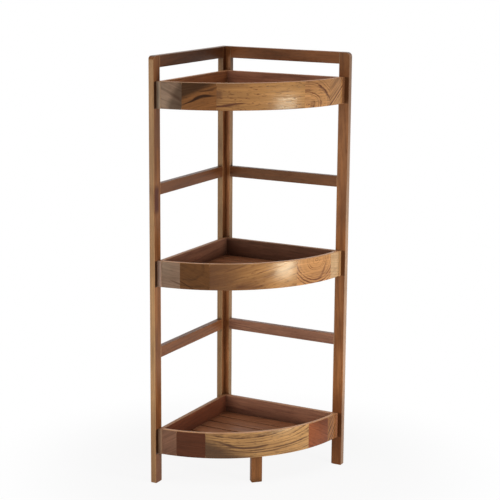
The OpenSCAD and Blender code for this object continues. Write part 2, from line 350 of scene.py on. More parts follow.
def dark_vein_group():
    """Mask of one dark vein or knot, at a place on the board, with a slope, a bend and a length."""
    tree, given, result = start_tree(
        "Dark Vein", VEIN_INPUTS | {"Board": VECTOR, "Drift": 0.5}, "Vein")
    board = parts(given["Board"])
    along = minus(board[0], given["Along"])
    slope = times_plus(along, given["Bend"], given["Slope"])
    across = minus(board[1], times_plus(along, slope, given["Across"]))
    wavy = times_plus(minus(given["Drift"], 0.5), 0.01, across)
    for_width = ease(over(size_of(wavy), given["Width"]), 1.0, 0.25)
    for_length = ease(over(size_of(along), given["Length"]), 1.0, 0.5)
    fill(result, {"Vein": times(times(for_width, for_length), given["Contrast"])})
    return tree


def oiled_timber_group():
    """Colour, roughness and height of oiled timber, put together from the effects above."""
    veins = {f"{which} {label}": value for which in VEINS for label, value in VEIN_INPUTS.items()}
    tree, given, result = start_tree(
        "Oiled Timber", RING_INPUTS | veins | CORNER_INPUTS | {
            "Board": VECTOR, "Tray Middles": VECTOR, "Light": COLOUR, "Dark": COLOUR,
            "Sapwood": COLOUR, "Edge": COLOUR, "End Tone": COLOUR, "Ring Contrast": 0.7,
            "Tone Contrast": 0.4, "Streak Contrast": 0.3, "Fleck Contrast": 0.2,
            "Board Contrast": 0.0, "Middle": 0.0, "Sapwood From": 1.0, "Sapwood Tone": 1.0,
            "End Grain": 0.0, "Gathering": 0.6, "Corner Start": -1.0, "Tray Half": 9.0,
            "Tone": 1.0, "Wear From": 0.0, "Up": 0.0, "Rim Wear": 0.0, "Base Roughness": 0.31,
            "Heartwood": 0.0, "Heart And Shade From": 0.0, "Heart And Shade To": 0.1, "Heart And Shade Slope": 0.0},
        "Color", "Roughness", "Height")

    def effect(group, labels):
        """Outputs of an effect that takes some of the tree's inputs as they are."""
        return place(tree, "ShaderNodeGroup", {
            label: given[label] for label in labels}, node_tree=group).outputs

    rings = effect(growth_rings_group(), RING_INPUTS)
    fibre = effect(fibres_group(), ("Vector", "Seed"))
    board = parts(given["Board"])
    off_middle = size_of(minus(board[1], given["Middle"]))
    wear = times(effect(worn_edges_group(), ("Vector", "Seed"))[0],
                 ease(minus(off_middle, given["Wear From"]), -WEAR_FADE, 0.0))

    # Sapwood along the sides of the board, then rings, tone, streaks, flecks, fibres and pores
    ragged = times_plus(fibre["Tone"], SAPWOOD_FADE, off_middle)
    band = ease(minus(ragged, given["Sapwood From"]), 0.0, SAPWOOD_FADE)
    pale = shade(given["Sapwood"], given["Sapwood Tone"])
    light = blend(band, given["Light"], pale)
    dark = blend(band, given["Dark"], shade(pale, 0.6))
    clear = times(times_plus(fibre["Clarity"], 0.75, 0.25), given["Ring Contrast"])
    wood = blend(times(rings["Rings"], clear), light, dark)
    wood = blend(times(fibre["Tone"], given["Tone Contrast"]), wood, dark)
    wood = blend(times(fibre["Streaks"], given["Streak Contrast"]), wood, shade(dark, 0.7))
    wood = blend(times(fibre["Flecks"], given["Fleck Contrast"]), wood, dark)
    wood = shade(wood, times_plus(fibre["Fibres"], 0.26, 0.87))
    wood = blend(times(fibre["Pores"], 0.4), wood, shade(dark, 0.8))

    # Heartwood and painted shade, dark veins and the lightness of the whole board
    slanted = times_plus(board[1], given["Heart And Shade Slope"], board[0])
    heart_and_shade_mask = ease(times_plus(rings["Bands"], 0.03, slanted),
                given["Heart And Shade From"], given["Heart And Shade To"], 0.0, given["Heartwood"])
    wood = blend(heart_and_shade_mask, wood, shade(given["Dark"], 0.75))
    vein_tree = dark_vein_group()
    vein_dark = vector_of("MULTIPLY", given["Dark"], VEIN_TINT)
    for which in VEINS:
        shape = {label: given[f"{which} {label}"] for label in VEIN_INPUTS}
        mask = place(tree, "ShaderNodeGroup", shape | {
            "Board": given["Board"], "Drift": fibre["Tone"]}, which, node_tree=vein_tree)
        wood = blend(mask, wood, vein_dark)
    luck = place(tree, "ShaderNodeTexWhiteNoise", {
        "W": given["Seed"]}, "Board", noise_dimensions="1D")
    wood = shade(wood, times_plus(minus(luck, 0.5), given["Board Contrast"], given["Tone"]))

    # Cut ends, worn edges, paler upward-facing faces, and painted shade in corners and beside the
    # trays
    cut_end = ease(given["End Grain"], 0.8, 0.96)
    wood = blend(cut_end, wood, shade(given["End Tone"], times_plus(fibre["Tone"], -0.25, 1.1)))
    # Upward-facing faces made paler and rougher
    rim = times(ease(given["Up"], 0.7, 0.95), given["Rim Wear"])
    wood = blend(larger(times(wear, 0.5), rim), wood, given["Edge"])
    # Painted shade: inner corners and joints darkened by ambient occlusion
    painted_shade_mask = effect(painted_corner_shade_group(), CORNER_INPUTS)[0]
    # Painted shadow of the trays on the front posts: there the corner shade is kept only at the
    # trays' heights
    beside = 0.0
    for middle in parts(given["Tray Middles"]):
        off = size_of(minus(board[0], middle))
        beside = larger(beside, ease(minus(given["Tray Half"], off), -SHADOW_FADE, SHADOW_FADE))
    kept = times(times(minus(1.0, cut_end), given["Gathering"]), beside)
    above = ease(minus(board[0], given["Corner Start"]), 0.0, 0.01)
    wood = blend(times(painted_shade_mask, times(kept, above)), wood, shade(given["Dark"], 0.25))

    rough = given["Base Roughness"]
    for mask, amount in ((fibre["Fibres"], 0.1), (fibre["Pores"], 0.2), (wear, 0.1), (rim, 0.2)):
        rough = times_plus(mask, amount, rough)
    height = times_plus(fibre["Fibres"], 0.4, rings["Rings"])
    fill(result, {"Color": wood, "Roughness": rough,
                  "Height": times_plus(fibre["Pores"], -1.2, height)})
    return tree


def new_material(name):
    """Material with nodes, and its tree."""
    material = bpy.data.materials.new(name)
    material.use_nodes = True
    return material, material.node_tree


def timber(name, kind, grain, turn=0.0, spin=0.0, seed_from="", shine=0.2, gloss="gloss", **values):
    """Oiled timber material. The grain names the object axes along, across and through the board,
    or is empty where the piece carries its own board attribute; turn slopes the grain and spin
    first turns the piece about the vertical, in degrees. Other values are inputs of the group."""
    tones = bpy.context.scene.shelf_timbers
    material, tree = new_material(name)
    coordinates = place(tree, "ShaderNodeTexCoord").outputs
    normal = parts(coordinates["Normal"])
    if grain:
        vector = coordinates["Object"]
        if spin:
            vector = turned(vector, "Turned with the piece", spin)
        axes = parts(vector)
        board = joined(*(axes["XYZ".index(axis)] for axis in grain))
        ends = size_of(normal["XYZ".index(grain[0])])
    else:
        board = place(tree, "ShaderNodeAttribute", attribute_name="board").outputs["Vector"]
        ends = 0.0
    inputs = {"Vector": turned(board, "Slope of the grain", turn) if turn else board,
              "Board": board, "Up": normal[2], "End Grain": ends}
    for label, key in (("Light", kind + "_light"), ("Dark", kind + "_dark"), ("Sapwood", "sapwood"),
                       ("Edge", "worn_edge"), ("End Tone", "end_grain")):
        inputs[label] = (*getattr(tones, key), 1.0)
    for key, value in values.items():
        inputs[key.replace("_", " ").title()] = value
    if seed_from:
        inputs["Seed"] = place(tree, "ShaderNodeAttribute", attribute_name=seed_from).outputs["Fac"]
    group = bpy.data.node_groups.get("Oiled Timber") or oiled_timber_group()
    wood = place(tree, "ShaderNodeGroup", inputs, "Oiled timber", node_tree=group).outputs
    bump = place(tree, "ShaderNodeBump", {
        "Strength": 0.35, "Distance": 0.00018, "Height": wood["Height"]})
    fill(tree.nodes["Principled BSDF"].inputs, {
        "Base Color": wood["Color"], "Roughness": wood["Roughness"], "Normal": bump,
        "Specular IOR Level": shine, "Specular Tint": (*getattr(tones, gloss), 1.0)})
    return material


def dress(node, material):
    """Gives a CAD node its material."""
    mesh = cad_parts[node].data
    mesh.materials.clear()
    mesh.materials.append(material)


# Pieces made by geometry nodes

def grow(name, tree, replaced, values, mesh=None):
    """Plain mesh piece from a geometry node tree, standing for the CAD nodes that it replaces."""
    piece = bpy.data.objects.new(name, mesh or bpy.data.meshes.new(name + "_start"))
    bpy.context.scene.collection.objects.link(piece)
    modifier = piece.modifiers.new(tree.name, "NODES")
    modifier.node_group = tree
    sockets = {item.name: item.identifier for item in tree.interface.items_tree
               if item.item_type == "SOCKET" and item.in_out == "INPUT"}
    for label, value in values.items():
        modifier[sockets[label]] = value
    depsgraph = bpy.context.evaluated_depsgraph_get()
    made = bpy.data.meshes.new_from_object(
        piece.evaluated_get(depsgraph), preserve_all_data_layers=True, depsgraph=depsgraph)
    if not made.polygons:
        raise RuntimeError(f"{name} came out empty")
    piece.modifiers.clear()
    piece.data = made
    made.name = name
    shell = bmesh.new()
    shell.from_mesh(made)
    bmesh.ops.recalc_face_normals(shell, faces=shell.faces)
    shell.to_mesh(made)
    shell.free()
    made.shade_smooth()
    made.set_sharp_from_angle(angle=SHARP_ANGLE)
    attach(piece, "root")
    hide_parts(*replaced)
    return piece


def finish_tree(geometry, material, result):
    """Ends a tree in Realize Instances and Set Material."""
    tree = geometry.id_data
    real = place(tree, "GeometryNodeRealizeInstances", {"Geometry": geometry})
    fill(result, {"Geometry": place(tree, "GeometryNodeSetMaterial", {
        "Geometry": real, "Material": material})})
    return tree


def store(geometry, name, value, kind="FLOAT_VECTOR", domain="POINT"):
    """Geometry with a named attribute added."""
    return place(geometry.id_data, "GeometryNodeStoreNamedAttribute", {
        "Geometry": geometry, "Name": name, "Value": value}, data_type=kind, domain=domain)


def stored(tree, name):
    """Vector attribute that a geometry carries."""
    return place(tree, "GeometryNodeInputNamedAttribute", {"Name": name}, data_type="FLOAT_VECTOR")


def position(tree):
    """Places of a geometry's points."""
    return place(tree, "GeometryNodeInputPosition")


def eased_section(width, height, radius):
    """Rectangle with rounded corners, as a curve."""
    box = place(width.id_data, "GeometryNodeCurvePrimitiveQuadrilateral", {
        "Width": width, "Height": height})
    return place(width.id_data, "GeometryNodeFilletCurve", {
        "Curve": box, "Count": 3, "Radius": radius}, "Eased edges", mode="POLY")


def upright(path):
    """Path along which a section stands upright."""
    return place(path.id_data, "GeometryNodeSetCurveNormal", {"Curve": path}, mode="Z_UP")


def sweep(path, section):
    """Section drawn along a path, with closed ends."""
    return place(path.id_data, "GeometryNodeCurveToMesh", {
        "Curve": path, "Profile Curve": section, "Fill Caps": True})


def set_position(geometry, label, *axes):
    """Geometry with its points moved to X, Y and Z."""
    return place(geometry.id_data, "GeometryNodeSetPosition", {
        "Geometry": geometry, "Position": joined(*axes)}, label)


def curved_stave_tree():
    """One stave of a curved front: an eased section bent round the corner of the shelf."""
    tree, given, result = start_tree("Curved Stave", {
        "Corner": VECTOR, "Radius": 0.27, "Start": 0.0, "End": 0.4, "Height": 0.05,
        "Thickness": 0.009, "Edge Radius": 0.001, "Segments": 48, "Lowest X": -1.0,
        "Highest Y": 1.0, "Timber": MATERIAL})
    arc = place(tree, "GeometryNodeCurveArc", {
        "Resolution": given["Segments"], "Radius": given["Radius"],
        "Start Angle": minus(given["Start"], pi / 2),
        "Sweep Angle": minus(given["End"], given["Start"])}, "Curve of the front", mode="RADIUS")
    centred = place(tree, "GeometryNodeTransform", {
        "Geometry": arc, "Translation": given["Corner"]}, "About the corner")
    section = eased_section(given["Thickness"], given["Height"], given["Edge Radius"])
    bent = sweep(upright(centred), section)
    x, y, z = parts(position(tree))
    trimmed = set_position(bent, "Cut by the walls", larger(x, given["Lowest X"]),
                           smaller(y, given["Highest Y"]), z)
    corner = parts(given["Corner"])
    dx = minus(x, corner[0])
    dy = minus(corner[1], y)
    reach = root(plus(times(dx, dx), times(dy, dy)))
    board = joined(times(calculate("ARCTAN2", dx, dy), given["Radius"]), minus(z, corner[2]),
                   minus(reach, given["Radius"]))
    return finish_tree(store(trimmed, "board", board), given["Timber"], result)


def slatted_floor_tree():
    """Slats side by side, each cut to the curve of the front."""
    tree, given, result = start_tree("Slatted Floor", {
        "Corner": VECTOR, "Left": 0.0, "First Y": 0.0, "Pitch": 0.036, "Count": 7, "Width": 0.032,
        "Thickness": 0.008, "Edge Radius": 0.001, "Reach": 0.27, "Seed": 1, "Timber": MATERIAL})
    corner = parts(given["Corner"])
    line = place(tree, "GeometryNodeCurvePrimitiveLine", {"End": (1.0, 0.0, 0.0)})
    section = place(tree, "GeometryNodeSubdivideCurve", {
        "Curve": eased_section(given["Width"], given["Thickness"], given["Edge Radius"]),
        "Cuts": 8})
    slat = store(sweep(upright(line), section), "board", position(tree))
    rows = place(tree, "GeometryNodeMeshLine", {
        "Count": given["Count"], "Start Location": joined(0.0, given["First Y"], corner[2]),
        "Offset": joined(0.0, given["Pitch"], 0.0)}, "Row of slats")
    copies = place(tree, "GeometryNodeInstanceOnPoints", {"Points": rows, "Instance": slat})
    index = place(tree, "GeometryNodeInputIndex")
    copies = store(copies, "slat", index, "FLOAT", "INSTANCE")
    luck = place(tree, "FunctionNodeRandomValue", {
        0: (-0.1, -0.05, 0.0), 1: (0.1, 0.05, 0.03), "ID": index, "Seed": given["Seed"]},
        "Place in the log", data_type="FLOAT_VECTOR")
    copies = store(copies, "log", luck, "FLOAT_VECTOR", "INSTANCE")
    real = place(tree, "GeometryNodeRealizeInstances", {"Geometry": copies})
    x, y, z = parts(position(tree))
    off = minus(y, corner[1])
    span = root(minus(times(given["Reach"], given["Reach"]), times(off, off)))
    full = minus(plus(corner[0], span), given["Left"])
    cut = set_position(real, "Cut to the curve", times_plus(x, full, given["Left"]), y, z)
    own = parts(stored(tree, "board"))
    board = vector_of("ADD", joined(x, own[1], own[2]), stored(tree, "log"))
    return finish_tree(store(cut, "board", board), given["Timber"], result)


def along_points(points, piece):
    """Copies of a piece on points, its Z turned to the direction that each point carries."""
    tree = points.id_data
    aligned = place(tree, "FunctionNodeAlignRotationToVector", {
        "Vector": stored(tree, "direction")}, axis="Z")
    return place(tree, "GeometryNodeInstanceOnPoints", {
        "Points": points, "Instance": piece, "Rotation": aligned})


def moved(geometry, z):
    """Geometry moved up or down."""
    return place(geometry.id_data, "GeometryNodeTransform", {
        "Geometry": geometry, "Translation": joined(0.0, 0.0, z)})


def wood_screw_tree():
    """Countersunk screws with a cross recess and a thread, heads at the points."""
    tree, given, result = start_tree("Wood Screw", {
        "Geometry": GEOMETRY, "Length": 0.018, "Head Diameter": 0.007, "Head Height": 0.0018,
        "Core Diameter": 0.0026, "Thread Diameter": 0.0035, "Pitch": 0.0015, "Finish": MATERIAL})
    head_r = times(given["Head Diameter"], 0.5)
    core_r = times(given["Core Diameter"], 0.5)
    thread_r = times(given["Thread Diameter"], 0.5)
    tip = times(given["Core Diameter"], 1.6)
    head = place(tree, "GeometryNodeMeshCone", {
        "Vertices": 32, "Radius Top": thread_r, "Radius Bottom": head_r,
        "Depth": given["Head Height"]}, "Head")
    arm = times(given["Head Diameter"], 0.56)
    slit = times(given["Head Diameter"], 0.13)
    deep = times(given["Head Height"], 1.4)
    cut = place(tree, "GeometryNodeMeshBoolean", {
        "Mesh 1": head}, "Cross recess", operation="DIFFERENCE")
    for x, y in ((arm, slit), (slit, arm)):
        bar = place(tree, "GeometryNodeMeshCube", {"Size": joined(x, y, deep)})
        fill(cut.inputs, {"Mesh 2": bar})
    stem_end = minus(given["Length"], tip)
    stem = place(tree, "GeometryNodeMeshCylinder", {
        "Vertices": 16, "Radius": core_r, "Depth": minus(stem_end, given["Head Height"])}, "Core")
    stem = moved(stem, times(plus(stem_end, given["Head Height"]), 0.5))
    point = place(tree, "GeometryNodeMeshCone", {
        "Vertices": 16, "Radius Top": 0.0001, "Radius Bottom": core_r, "Depth": tip}, "Tip")
    spiral = place(tree, "GeometryNodeCurveSpiral", {
        "Resolution": 14, "Rotations": over(stem_end, given["Pitch"]), "Start Radius": core_r,
        "End Radius": core_r, "Height": stem_end}, "Thread")
    ridge = place(tree, "GeometryNodeCurvePrimitiveCircle", {
        "Resolution": 3, "Radius": minus(thread_r, core_r)}, "Ridge")
    thread = moved(sweep(spiral, ridge), times(given["Head Height"], 0.8))
    whole = place(tree, "GeometryNodeJoinGeometry")
    for piece in (cut, stem, moved(point, stem_end), thread):
        fill(whole.inputs, {0: piece})
    return finish_tree(along_points(given["Geometry"], whole), given["Finish"], result)


def fluted_dowel_tree():
    """Fluted dowels with eased ends, their middles at the points."""
    tree, given, result = start_tree("Fluted Dowel", {
        "Geometry": GEOMETRY, "Length": 0.025, "Diameter": 0.006, "Flute Depth": 0.0003,
        "Timber": MATERIAL})
    outer = times(given["Diameter"], 0.5)
    star = place(tree, "GeometryNodeCurveStar", {
        "Points": 12, "Outer Radius": outer,
        "Inner Radius": minus(outer, given["Flute Depth"])}, "Flutes")
    half = times(given["Length"], 0.5)
    line = place(tree, "GeometryNodeCurvePrimitiveLine", {
        "Start": joined(0.0, 0.0, times(half, -1.0)), "End": joined(0.0, 0.0, half)})
    cut = place(tree, "GeometryNodeResampleCurve", {"Curve": line, "Count": 17})
    factor = place(tree, "GeometryNodeSplineParameter")
    to_end = smaller(factor, minus(1.0, factor))
    eased = place(tree, "GeometryNodeSetCurveRadius", {
        "Curve": cut, "Radius": ease(to_end, 0.0, 0.06, 0.78, 1.0)})
    dowel = store(sweep(eased, star), "board", position(tree))
    return finish_tree(along_points(given["Geometry"], dowel), given["Timber"], result)


def islands(node):
    """Points of each separate solid in a CAD node."""
    shell = bmesh.new()
    shell.from_mesh(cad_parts[node].data)
    bmesh.ops.remove_doubles(shell, verts=shell.verts, dist=MERGE_DISTANCE)
    left = set(shell.verts)
    found = []
    while left:
        ring = [left.pop()]
        solid = list(ring)
        while ring:
            for edge in ring.pop().link_edges:
                for vert in edge.verts:
                    if vert in left:
                        left.remove(vert)
                        ring.append(vert)
                        solid.append(vert)
        found.append([vert.co.copy() for vert in solid])
    shell.free()
    return sorted(found, key=lambda points: [round(sum(p[i] for p in points), 5) for i in range(3)])


def fixing_points(node, from_head):
    """Mesh with one point for each fixing in a CAD node, carrying its direction, and its length.
    The point is at the widest end where from_head is set, and otherwise in the middle."""
    places = []
    directions = []
    for points in islands(node):
        low, high = (Vector(end(p[i] for p in points) for i in range(3)) for end in (min, max))
        size = high - low
        axis = max(range(3), key=lambda i: size[i])
        middle = (low + high) / 2
        direction = Vector((0.0, 0.0, 0.0))
        direction[axis] = 1.0
        if from_head:
            widest = max(points, key=lambda p: (p - middle).cross(direction).length)
            direction[axis] = 1.0 if widest[axis] < middle[axis] else -1.0
            middle[axis] = low[axis] if direction[axis] > 0 else high[axis]
        places.append(middle)
        directions.append(direction)
    mesh = bpy.data.meshes.new(node + "_points")
    mesh.from_pydata(places, [], [])
    carried = mesh.attributes.new("direction", "FLOAT_VECTOR", "POINT")
    for item, direction in zip(carried.data, directions):
        item.vector = direction
    return mesh, max(size)


# Rows of the tables below

GRAIN = ("turn", "ring_width", "heart_across", "lean", "wander", "ring_contrast", "tone_contrast",
         "seed")


def grain(*values):
    """Grain of a stave, in the order of GRAIN."""
    return dict(zip(GRAIN, values))


def vein(*values, which="vein"):
    """Dark vein or knot, in the order of VEIN_INPUTS."""
    return {f"{which}_{label.lower()}": value for label, value in zip(VEIN_INPUTS, values)}


second_vein = partial(vein, which="second_vein")


def heart_and_shade(strength, start, end, slope=0.0):
    """Darker wood that begins between two places along the board: heartwood on some boards, and
    painted shade over the left parts of the wide staves.
    """
    return dict(heartwood=strength, heart_and_shade_from=start, heart_and_shade_to=end, heart_and_shade_slope=slope)


# What each stave of each curved front is cut from, first to fifth from the left; the heartwood on
# the wide third staves is painted shade over their left parts

STAVE_TIMBER = {
    "top": (
        ("ash", grain(24, 0.012, 0.06, 0.25, 0.014, 0.5, 0.5, 1.3)
         | vein(0.04, 0.002, -0.55, 0, 0.006, 0.03, 0.5)
         | heart_and_shade(0.75, 0.05, 0.066, -0.3) | dict(tone=1.08)),
        ("umber", grain(-10, 0.008, 0.10, 0.3, 0.018, 0.6, 0.35, 4.1)
         | vein(0.095, -0.001, 0.3, -6.0, 0.0032, 0.04, 0.95)
         | second_vein(0.11, 0.012, 0.2, 0, 0.003, 0.018, 0.6)
         | heart_and_shade(0.85, 0.1, 0.075, -2.2) | dict(fleck_contrast=0.35, tone=1.15)),
        ("golden", grain(1, 0.0055, 0.12, 0.06, 0.012, 0.6, 0.45, 2.6)
         | vein(0.15, -0.018, 0.13, 0, 0.0022, 0.042, 0.9)
         | second_vein(0.128, 0.001, 0, 0, 0.013, 0.014, 0.5)
         | heart_and_shade(0.62, 0.235, 0.11) | dict(streak_contrast=0.6, fleck_contrast=0.75)),
        ("russet", grain(0, 0.008, -0.02, 0.8, 0.012, 1.4, 0.35, 7.7)
         | vein(0.353, 0.004, -1.1, -14.0, 0.0045, 0.02, 0.85)
         | second_vein(0.309, 0.01, 0, 0, 0.004, 0.01, 0.6)
         | dict(heart_along=0.318, heart_depth=0.002, fleck_contrast=0.6, tone=0.97)),
        ("russet", grain(-40, 0.0068, 0.36, 0.2, 0.01, 1.7, 0.35, 5.7) | dict(tone=0.9)),
    ),
    "middle": (
        ("ash", grain(8, 0.010, 0.07, 0.2, 0.012, 0.35, 0.4, 5.9)
         | vein(0.055, -0.016, -0.4, 0, 0.003, 0.02, 0.5)),
        ("umber", grain(22, 0.008, 0.05, 0.3, 0.014, 0.7, 0.4, 6.4)
         | vein(0.072, -0.017, -0.5, 0, 0.002, 0.02, 0.6) | dict(fleck_contrast=0.3, tone=0.7)),
        ("golden", grain(-12, 0.0075, 0.16, 0.12, 0.02, 0.85, 0.5, 8.3)
         | vein(0.195, -0.018, 0, 0, 0.006, 0.035, 0.5)
         | second_vein(0.165, 0.014, 0.35, 0, 0.0025, 0.025, 0.55)
         | heart_and_shade(0.88, 0.28, 0.12)
         | dict(streak_contrast=0.4, fleck_contrast=0.5, tone=0.93)),
        ("russet", grain(0, 0.0062, 0.022, 0.85, 0.012, 1.2, 0.4, 9.2)
         | vein(0.352, -0.012, 0.9, 30.0, 0.006, 0.024, 0.5)
         | dict(heart_along=0.347, heart_depth=0.001, fleck_contrast=0.3, tone=0.88)),
        ("honey", grain(10, 0.006, 0.08, 0.2, 0.01, 0.4, 0.3, 2.2)
         | dict(fleck_contrast=0.6, tone=0.84)),
    ),
    "bottom": (
        ("mauve", grain(-30, 0.012, 0.07, 0.2, 0.012, 0.35, 0.5, 4.7)),
        ("wine", grain(4, 0.010, 0.08, 0.1, 0.012, 0.35, 0.4, 5.2) | dict(tone=0.82)),
        ("olive", grain(0, 0.0058, 0.045, 0.26, 0.009, 1.4, 0.35, 1.9)
         | vein(0.18, 0.0, -0.06, 1.6, 0.0032, 0.065, 0.85)
         | second_vein(0.20, -0.0125, -0.02, 1.6, 0.0025, 0.08, 0.7)
         | heart_and_shade(0.94, 0.2, 0.12, 2.0)
         | dict(heart_along=0.22, heart_depth=0.004, fleck_contrast=0.55, tone=0.97, shine=0.54)),
        ("brick", grain(24, 0.009, 0.09, 0.1, 0.01, 0.5, 0.6, 7.1)
         | heart_and_shade(0.45, 0.335, 0.385, 0.5) | dict(fleck_contrast=0.4, tone=0.85, shine=0.22)),
        ("umber", grain(-52, 0.006, 0.09, 0.2, 0.009, 2.2, 0.3, 8.8)
         | dict(tone=1.55, shine=0.22)),
    ),
}

# Painted shadow on the front posts, close beside the trays, and darker wood at their feet

TRAY_BOXES = [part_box(f"{tray}_front_stave_1") for tray in TRAYS]
TRAY_SHADOW_AND_DARK_FOOT = second_vein(0, 0, 0, 0, 1.0, 0.2, 0.33) | dict(
    corner_reach=0.02, corner_open=0.99, corner_closed=0.94,
    tray_middles=[(low.z + high.z) / 2 for low, high in TRAY_BOXES],
    tray_half=(TRAY_BOXES[0][1].z - TRAY_BOXES[0][0].z) / 2)

# What each post is cut from, with the axes along, across and through it; the heart and shade
# setting makes them darker towards the top

POST_TIMBER = {
    "left_front_post": ("ZYX", TRAY_SHADOW_AND_DARK_FOOT | dict(
        heart_across=-0.09, ring_width=0.0045, seed=1.1, tone=1.12, sapwood_tone=1.12,
        gathering=0.97) | heart_and_shade(0.26, 0.36, 0.52)
        | vein(0.574, -0.139, 0, 0, 0.012, 0.034, 0.95)),
    "left_corner_post": ("ZYX", dict(
        heart_across=0.20, ring_width=0.0040, seed=2.4, tone=0.92, sapwood_tone=0.84)
        | heart_and_shade(0.3, 0.7, 0.95) | vein(0.71, 0.1335, 0, 0, 0.0125, 0.16, 0.9)
        | second_vein(0.2, 0.1335, 0, 0, 0.0125, 0.12, 0.5)),
    "back_corner_post": ("ZXY", dict(
        heart_across=-0.20, ring_width=0.0045, seed=3.6, tone=1.7, sapwood_tone=0.49)
        | heart_and_shade(0.36, 0.6, 0.85)),
    "back_front_post": ("ZXY", TRAY_SHADOW_AND_DARK_FOOT | dict(
        heart_across=0.09, ring_width=0.0038, seed=4.9, tone=1.4, sapwood_tone=0.86,
        gathering=0.58, sapwood=(*paint(184, 146, 116), 1.0)) | heart_and_shade(0.4, 0.4, 0.8)),
}

# Timber and lightness of each straight wall, and the colour of its cut end

WALL_TIMBER = {
    ("top", "left"): ("wall", 2.1, (168, 145, 122)),
    ("top", "back"): ("mauve", 2.1, (142, 94, 60)),
    ("middle", "left"): ("mauve", 1.52, (188, 154, 134)),
    ("middle", "back"): ("mauve", 0.93, (190, 144, 96)),
    ("bottom", "left"): ("cherry", 1.0, (160, 124, 98)),
    ("bottom", "back"): ("mauve", 1.76, (154, 100, 68)),
}

# Timber and lightness of each rail

RAIL_TIMBER = {
    ("left", "top"): ("rail", 0.72), ("back", "top"): ("rail", 1.5),
    ("left", "upper"): ("rail", 0.95), ("back", "upper"): ("rail", 1.08),
    ("left", "lower"): ("rail", 1.18), ("back", "lower"): ("mauve", 1.62),
}


# Operators

class SHELF_OT_frames(bpy.types.Operator):
    """Give the posts and rails their timber"""
    bl_idname = "shelf.dress_frames"
    bl_label = "Ladder frames"

    def execute(self, context):
        for node, (axes, values) in POST_TIMBER.items():
            low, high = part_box(node)
            across = "XYZ".index(axes[1])
            dress(node, timber(
                node + "_wood", "post", axes, lean=0.02, wander=0.004, ring_contrast=0.7,
                tone_contrast=0.75, streak_contrast=0.45, heart_depth=0.03, corner_start=0.03,
                middle=(low[across] + high[across]) / 2,
                sapwood_from=(high[across] - low[across]) / 2 - SAPWOOD_FADE, **values))
        for side, axes in SIDES.items():
            for number, rail in enumerate(RAILS):
                node = f"{side}_{rail}_rail"
                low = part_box(node)[0]
                kind, tone = RAIL_TIMBER[side, rail]
                dress(node, timber(
                    node + "_wood", kind, axes, lean=0.04, wander=0.005, ring_contrast=0.6,
                    tone_contrast=0.5, ring_width=0.005, heart_across=low.z - 0.03 * (number + 1),
                    tone=tone, seed=number * 2.7 + (5.0 if side == "back" else 0.5)))
        return {"FINISHED"}


class SHELF_OT_walls(bpy.types.Operator):
    """Give the straight walls of the trays their timber"""
    bl_idname = "shelf.dress_walls"
    bl_label = "Tray walls"

    def execute(self, context):
        for number, tray in enumerate(TRAYS):
            for side, axes in SIDES.items():
                node = f"{tray}_tray_{side}_wall"
                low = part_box(node)[0]
                kind, tone, end_tone = WALL_TIMBER[tray, side]
                dress(node, timber(
                    node + "_wood", kind, axes, lean=0.05, wander=0.006, ring_contrast=0.6,
                    tone_contrast=0.5, streak_contrast=0.4, ring_width=0.006, tone=tone,
                    end_tone=(*paint(*end_tone), 1.0), rim_wear=0.45, heart_across=low.z - 0.04,
                    seed=number * 3.1 + (7.4 if side == "back" else 0.9)))
        return {"FINISHED"}


class SHELF_OT_fronts(bpy.types.Operator):
    """Make the staves of the curved fronts"""
    bl_idname = "shelf.make_fronts"
    bl_label = "Curved fronts"

    def execute(self, context):
        sizes = context.scene.shelf_sizes
        inner = FRONT_R - sizes.front_thickness
        tree = curved_stave_tree()
        for tray in TRAYS:
            for number, (kind, values) in enumerate(STAVE_TIMBER[tray], 1):
                node = f"{tray}_front_stave_{number}"
                low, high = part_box(node)
                first = number == 1
                last = number == STAVE_COUNT
                finish = {} if number in DARK_STAVES else dict(
                    shine=0.46 if number == WIDE_STAVE else 0.36, gloss="front_gloss")
                grow(f"{tray}_stave_{number}", tree, [node], {
                    "Corner": (CORNER_X, CORNER_Y, (low.z + high.z) / 2),
                    "Radius": FRONT_R - sizes.front_thickness / 2,
                    "Start": asin((low.x - CORNER_X) / (FRONT_R if first else inner)),
                    "End": acos((CORNER_Y - high.y) / (FRONT_R if last else inner)),
                    "Height": high.z - low.z,
                    "Thickness": sizes.front_thickness,
                    "Edge Radius": sizes.edge_radius,
                    "Segments": sizes.stave_segments,
                    "Lowest X": low.x if first else -1.0,
                    "Highest Y": high.y if last else 1.0,
                    "Timber": timber(f"{tray}_stave_{number}_wood", kind, "", wear_from=0.024,
                                     rim_wear=0.8, base_roughness=0.19, **(finish | values)),
                })
        return {"FINISHED"}


class SHELF_OT_slats(bpy.types.Operator):
    """Make the slatted floors of the trays"""
    bl_idname = "shelf.make_slats"
    bl_label = "Slatted floors"

    def execute(self, context):
        sizes = context.scene.shelf_sizes
        tree = slatted_floor_tree()
        for number, tray in enumerate(TRAYS, 1):
            nodes = [f"{tray}_slat_{i}" for i in range(1, SLAT_COUNT + 1)]
            low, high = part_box(nodes[0])
            last_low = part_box(nodes[-1])[0]
            grow(f"{tray}_slats", tree, nodes, {
                "Corner": (CORNER_X, CORNER_Y, (low.z + high.z) / 2),
                "Left": low.x,
                "First Y": (low.y + high.y) / 2,
                "Pitch": (last_low.y - low.y) / (SLAT_COUNT - 1),
                "Count": SLAT_COUNT,
                "Width": high.y - low.y,
                "Thickness": high.z - low.z,
                "Edge Radius": sizes.edge_radius,
                "Reach": FRONT_R - sizes.front_thickness - sizes.slat_play,
                "Seed": number,
                "Timber": timber(
                    f"{tray}_slats_wood", "slat", "", seed_from="slat", lean=0.06, wander=0.006,
                    tone=1.7, ring_contrast=0.55, tone_contrast=0.4, board_contrast=0.25,
                    ring_width=0.005, heart_across=-0.02, heart_depth=0.015),
            })
        return {"FINISHED"}


